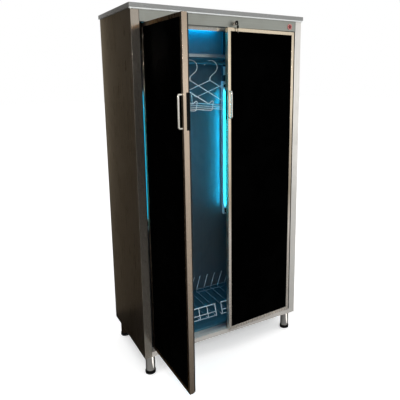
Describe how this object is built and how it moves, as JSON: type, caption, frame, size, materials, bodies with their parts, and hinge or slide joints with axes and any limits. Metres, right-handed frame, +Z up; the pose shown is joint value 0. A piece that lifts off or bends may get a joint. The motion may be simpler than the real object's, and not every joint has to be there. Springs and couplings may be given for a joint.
{
  "type": "uv disinfection cabinet",
  "caption": "Tall stainless steel ultraviolet disinfection cabinet for clothes and shoes: hinged black-panel doors, blue lamp tubes, hanging rail, hat shelf and wire shoe racks.",
  "frame": {"origin": "floor level, under the middle of the body", "axes": "+Z up, front with the doors towards -Y, +X to the right of someone facing the doors"},
  "size_m": [1, 0.9511, 1.9],
  "materials": {
    "stainless": "fine vertical brushing",
    "side_sheet": "dull brushed sheet",
    "inner_sheet": "satin inside sheet",
    "door_alloy": "champagne anodised, satin",
    "door_black": "black, low sheen",
    "seal_rubber": "matt",
    "handle_steel": "satin",
    "wire_chrome": "bright plated",
    "pin_steel": "turned",
    "black_plastic": "moulded",
    "grey_plastic": "moulded",
    "lamp_white": "white enamel",
    "lamp_glass": "glowing blue tube",
    "lock_chrome": "bright plated",
    "red_plastic": "glossy moulded",
    "ballast_alloy": "plain"
  },
  "bodies": {
    "cabinet": {"top_plate": "stainless", "roof_panel": "stainless", "left_front_post": "stainless", "right_front_post": "stainless", "back_panel": "inner_sheet", "bottom_front_rail": "stainless", "fascia_panel": "stainless", "door_stops": "stainless", "corner_gussets": "stainless", "leg_tubes": "stainless", "base_channels": "stainless", "left_side_panel": "side_sheet", "right_side_panel": "side_sheet", "rear_posts": "inner_sheet", "floor_panel": "inner_sheet", "hat_shelf": "inner_sheet", "shelf_brackets": "inner_sheet", "hanging_rail": "wire_chrome", "rail_flanges": "wire_chrome", "lamp_battens": "lamp_white", "lamp_holders": "black_plastic", "left_lamp_tube": "lamp_glass", "right_lamp_tube": "lamp_glass", "top_lamp_tube": "lamp_glass", "wiring_ducts": "grey_plastic", "ballast_box": "ballast_alloy", "door_switches": "black_plastic", "cable_gland": "black_plastic", "hinge_pins": "pin_steel", "lock_barrel": "lock_chrome", "switch_housing": "lock_chrome"},
    "left_door": {"left_door_frame": "door_alloy", "left_door_panel": "door_black", "left_door_liner": "inner_sheet", "left_door_gasket": "seal_rubber", "left_handle": "handle_steel", "left_handle_backing": "black_plastic"},
    "right_door": {"right_door_frame": "door_alloy", "right_door_panel": "door_black", "right_door_liner": "inner_sheet", "right_door_gasket": "seal_rubber", "right_handle": "handle_steel", "right_handle_backing": "black_plastic"},
    "lock_turn": {"lock_plug": "lock_chrome", "key_blade": "lock_chrome", "key_bow": "black_plastic"},
    "button": {"switch_button": "red_plastic"},
    "foot_front_left": {"foot_front_left": "black_plastic"},
    "foot_front_right": {"foot_front_right": "black_plastic"},
    "foot_rear_left": {"foot_rear_left": "black_plastic"},
    "foot_rear_right": {"foot_rear_right": "black_plastic"},
    "left_shoe_rack_body": {"left_shoe_rack": "wire_chrome"},
    "right_shoe_rack_body": {"right_shoe_rack": "wire_chrome"},
    "hanger_a_body": {"hanger_a": "wire_chrome"},
    "hanger_b_body": {"hanger_b": "wire_chrome"},
    "hanger_c_body": {"hanger_c": "wire_chrome"},
    "hanger_d_body": {"hanger_d": "wire_chrome"},
    "hanger_e_body": {"hanger_e": "wire_chrome"}
  },
  "joints": [
    {"name": "left_door_hinge", "type": "hinge", "parent": "cabinet", "child": "left_door", "pos_m": [-0.42, -0.2495, 0.98], "axis": [0, 0, -1], "range_deg": [-89, 16]},
    {"name": "right_door_hinge", "type": "hinge", "parent": "cabinet", "child": "right_door", "pos_m": [0.42, -0.2495, 0.98], "axis": [0, 0, 1], "range_deg": [-3.6, 101.4]},
    {"name": "lock_turn", "type": "hinge", "parent": "cabinet", "child": "lock_turn", "pos_m": [0.055, -0.25, 1.84], "axis": [0, 1, 0], "range_deg": [0, 90]},
    {"name": "button_press", "type": "slide", "parent": "cabinet", "child": "button", "axis": [0, 1, 0], "range_m": [0, 0.003], "stiffness_N_per_m": 400},
    {"name": "front_left_foot_level", "type": "slide", "parent": "cabinet", "child": "foot_front_left", "axis": [0, 0, -1], "range_m": [0, 0.015]},
    {"name": "front_right_foot_level", "type": "slide", "parent": "cabinet", "child": "foot_front_right", "axis": [0, 0, -1], "range_m": [0, 0.015]},
    {"name": "rear_left_foot_level", "type": "slide", "parent": "cabinet", "child": "foot_rear_left", "axis": [0, 0, -1], "range_m": [0, 0.015]},
    {"name": "rear_right_foot_level", "type": "slide", "parent": "cabinet", "child": "foot_rear_right", "axis": [0, 0, -1], "range_m": [0, 0.015]},
    {"name": "left_rack_lift", "type": "slide", "parent": "cabinet", "child": "left_shoe_rack_body", "axis": [0, 0, 1], "range_m": [0, 0.2]},
    {"name": "right_rack_lift", "type": "slide", "parent": "cabinet", "child": "right_shoe_rack_body", "axis": [0, 0, 1], "range_m": [0, 0.2]},
    {"name": "hanger_a_slide", "type": "slide", "parent": "cabinet", "child": "hanger_a_body", "axis": [1, 0, 0], "range_m": [-0.003, 0.03]},
    {"name": "hanger_b_slide", "type": "slide", "parent": "cabinet", "child": "hanger_b_body", "axis": [1, 0, 0], "range_m": [-0.03, 0.03]},
    {"name": "hanger_c_slide", "type": "slide", "parent": "cabinet", "child": "hanger_c_body", "axis": [1, 0, 0], "range_m": [-0.03, 0.03]},
    {"name": "hanger_d_slide", "type": "slide", "parent": "cabinet", "child": "hanger_d_body", "axis": [1, 0, 0], "range_m": [-0.03, 0.03]},
    {"name": "hanger_e_slide", "type": "slide", "parent": "cabinet", "child": "hanger_e_body", "axis": [1, 0, 0], "range_m": [-0.03, 0.03]}
  ]
}
